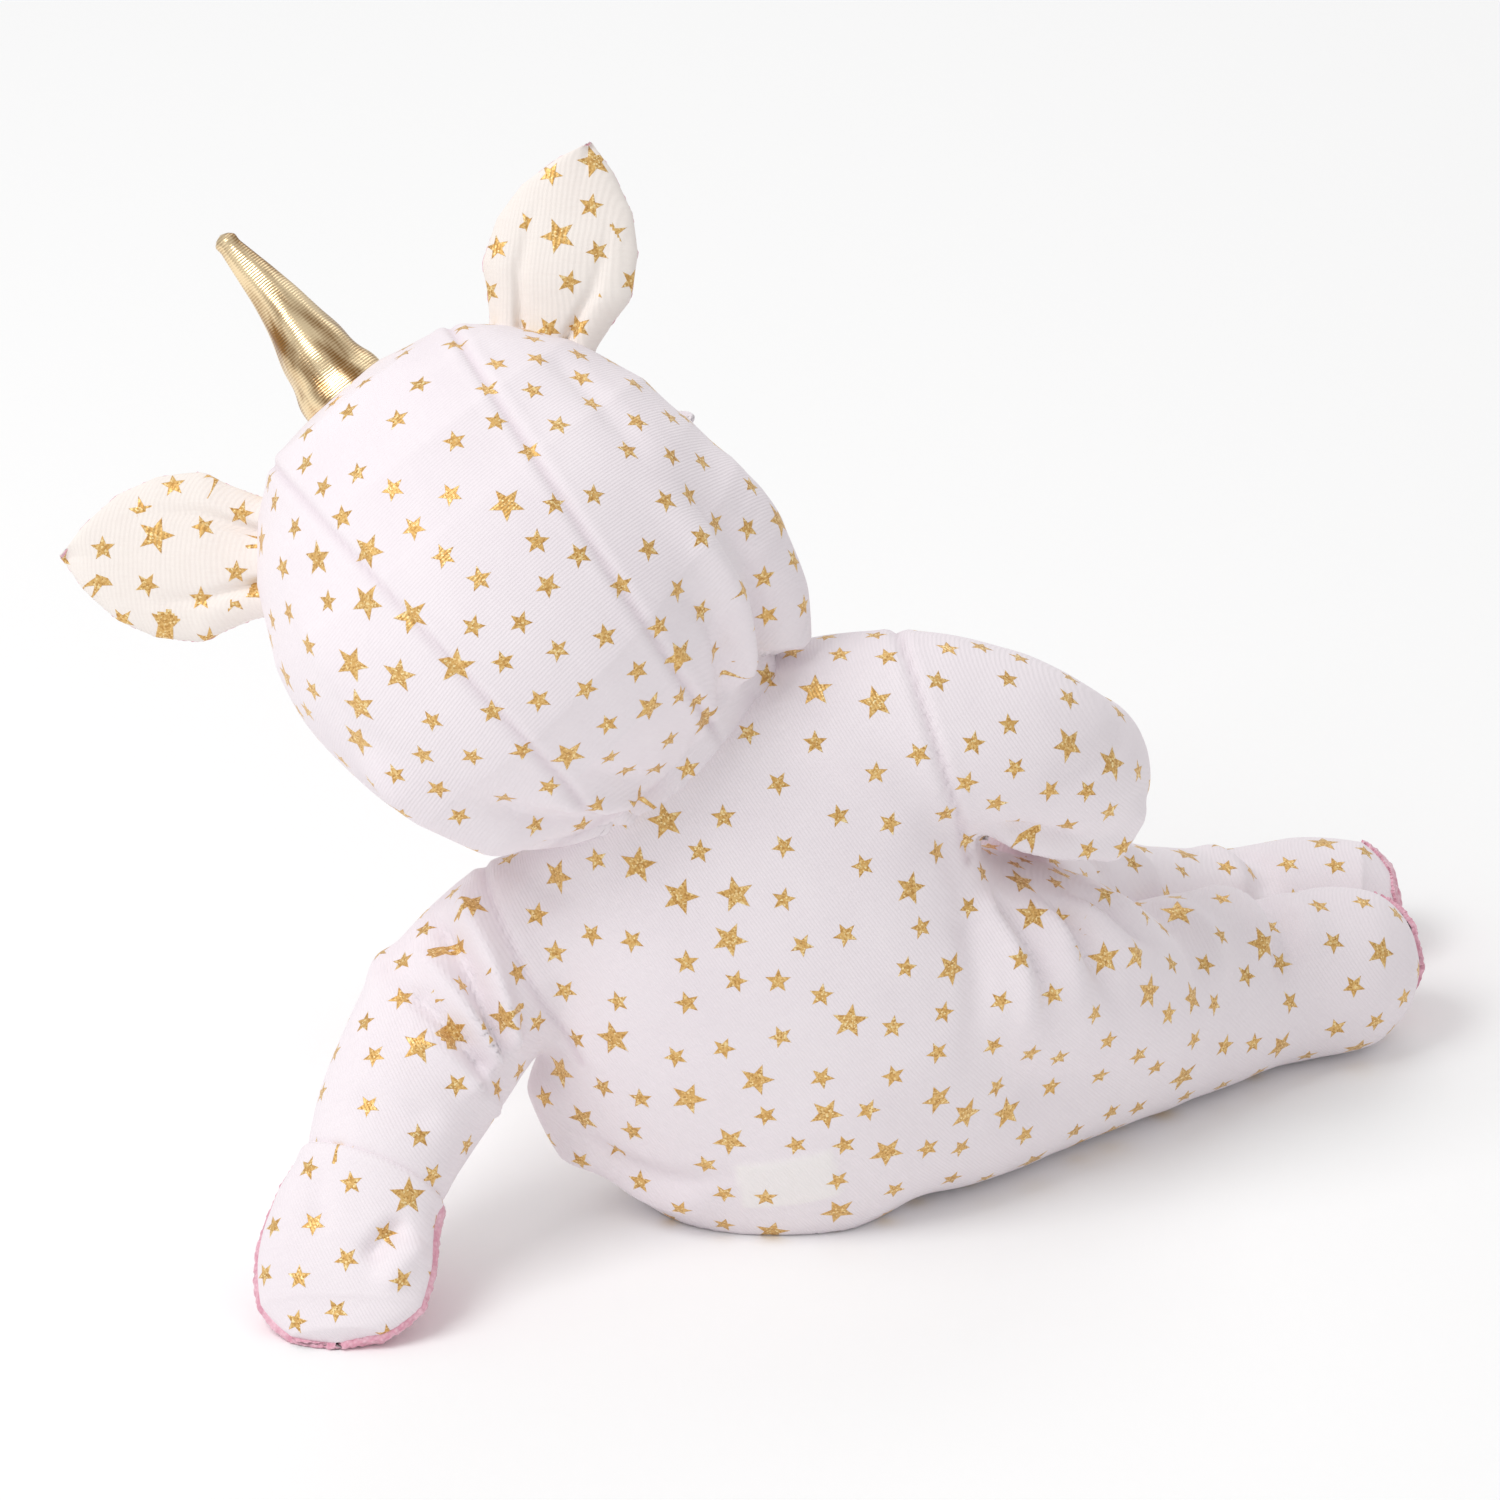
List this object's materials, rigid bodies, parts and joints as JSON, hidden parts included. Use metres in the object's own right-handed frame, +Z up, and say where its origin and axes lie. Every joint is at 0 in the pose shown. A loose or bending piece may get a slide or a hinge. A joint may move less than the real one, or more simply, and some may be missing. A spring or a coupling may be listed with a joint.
{
  "type": "plush unicorn doll",
  "caption": "Soft-bodied baby doll in a hooded unicorn sleep suit with stuffed horn, leaf-shaped ears, mittens and footed legs, lying on its left side propped on one arm.",
  "frame": {"origin": "middle of the bounding box, on the surface that the doll lies on", "axes": "+Z up; +X from the propped mitten towards the feet; +Y away from the back of the doll, so the face and the front of the suit look along +Y"},
  "size_m": [0.3894, 0.2718, 0.3024],
  "materials": {
    "jersey": "off-white fine cotton jersey printed with scattered gold glitter stars",
    "plush": "short pale pink pile",
    "gold": "metallic gold knit, crumpled and shiny",
    "vinyl": "soft matt vinyl, light skin with rosy cheeks",
    "body_cloth": "plain stuffed cotton",
    "stuffing": "white polyester fibre",
    "tie": "white nylon cable tie",
    "stud": "off-white plastic press stud",
    "label": "plain white woven satin tape, no print"
  },
  "bodies": {
    "torso": {"torso_body": "body_cloth", "suit_back": "jersey", "suit_front_left": "jersey", "suit_front_right": "jersey", "front_placket": "jersey", "press_stud_1": "stud", "press_stud_2": "stud", "press_stud_3": "stud", "care_label": "label"},
    "neck": {"neck_tie": "tie"},
    "head": {"vinyl_head": "vinyl", "hood_middle": "jersey", "hood_left": "jersey", "hood_right": "jersey", "hood_lining": "plush", "horn_cover": "gold", "horn_filling": "stuffing"},
    "left_ear": {"left_ear_back": "jersey", "left_ear_front": "plush"},
    "left_arm": {"left_sleeve": "jersey", "left_mitten_back": "jersey", "left_mitten_palm": "plush", "left_arm_body": "body_cloth", "left_arm_tie": "tie"},
    "left_leg": {"left_trouser": "jersey", "left_foot_upper": "jersey", "left_sole": "plush", "left_leg_body": "body_cloth", "left_leg_tie": "tie"},
    "right_ear": {"right_ear_back": "jersey", "right_ear_front": "plush"},
    "right_arm": {"right_sleeve": "jersey", "right_mitten_back": "jersey", "right_mitten_palm": "plush", "right_arm_body": "body_cloth", "right_arm_tie": "tie"},
    "right_leg": {"right_trouser": "jersey", "right_foot_upper": "jersey", "right_sole": "plush", "right_leg_body": "body_cloth", "right_leg_tie": "tie"}
  },
  "joints": [
    {"name": "head_nod", "type": "hinge", "parent": "torso", "child": "neck", "pos_m": [-0.02479, -0.04151, 0.145], "axis": [0.886, 0.0902, 0.4548], "range_deg": [-10, 12]},
    {"name": "head_turn", "type": "hinge", "parent": "neck", "child": "head", "pos_m": [-0.02479, -0.04151, 0.145], "axis": [-0.5593, 0.01, 0.8289], "range_deg": [-35, 35]},
    {"name": "left_ear_flop", "type": "hinge", "parent": "head", "child": "left_ear", "pos_m": [-0.14111, -0.03734, 0.19776], "axis": [0.0001, -0.4226, -0.9063], "range_deg": [-20, 20]},
    {"name": "right_ear_flop", "type": "hinge", "parent": "head", "child": "right_ear", "pos_m": [-0.06005, -0.01059, 0.25516], "axis": [-0.9703, 0.1023, 0.2191], "range_deg": [-20, 20]},
    {"name": "left_arm_swing", "type": "hinge", "parent": "torso", "child": "left_arm", "pos_m": [-0.06579, -0.0485, 0.084], "axis": [-0.886, -0.0902, -0.4548], "range_deg": [0, 60]},
    {"name": "right_arm_swing", "type": "hinge", "parent": "torso", "child": "right_arm", "pos_m": [0.04721, -0.03701, 0.142], "axis": [0.951, 0.1301, 0.2803], "range_deg": [0, 60]},
    {"name": "left_leg_swing", "type": "hinge", "parent": "torso", "child": "left_leg", "pos_m": [0.04121, -0.0325, 0.031], "axis": [0, 0, 1], "range_deg": [-30, 0]},
    {"name": "right_leg_swing", "type": "hinge", "parent": "torso", "child": "right_leg", "pos_m": [0.06121, -0.01251, 0.068], "axis": [0, 0, 1], "range_deg": [0, 30]}
  ]
}
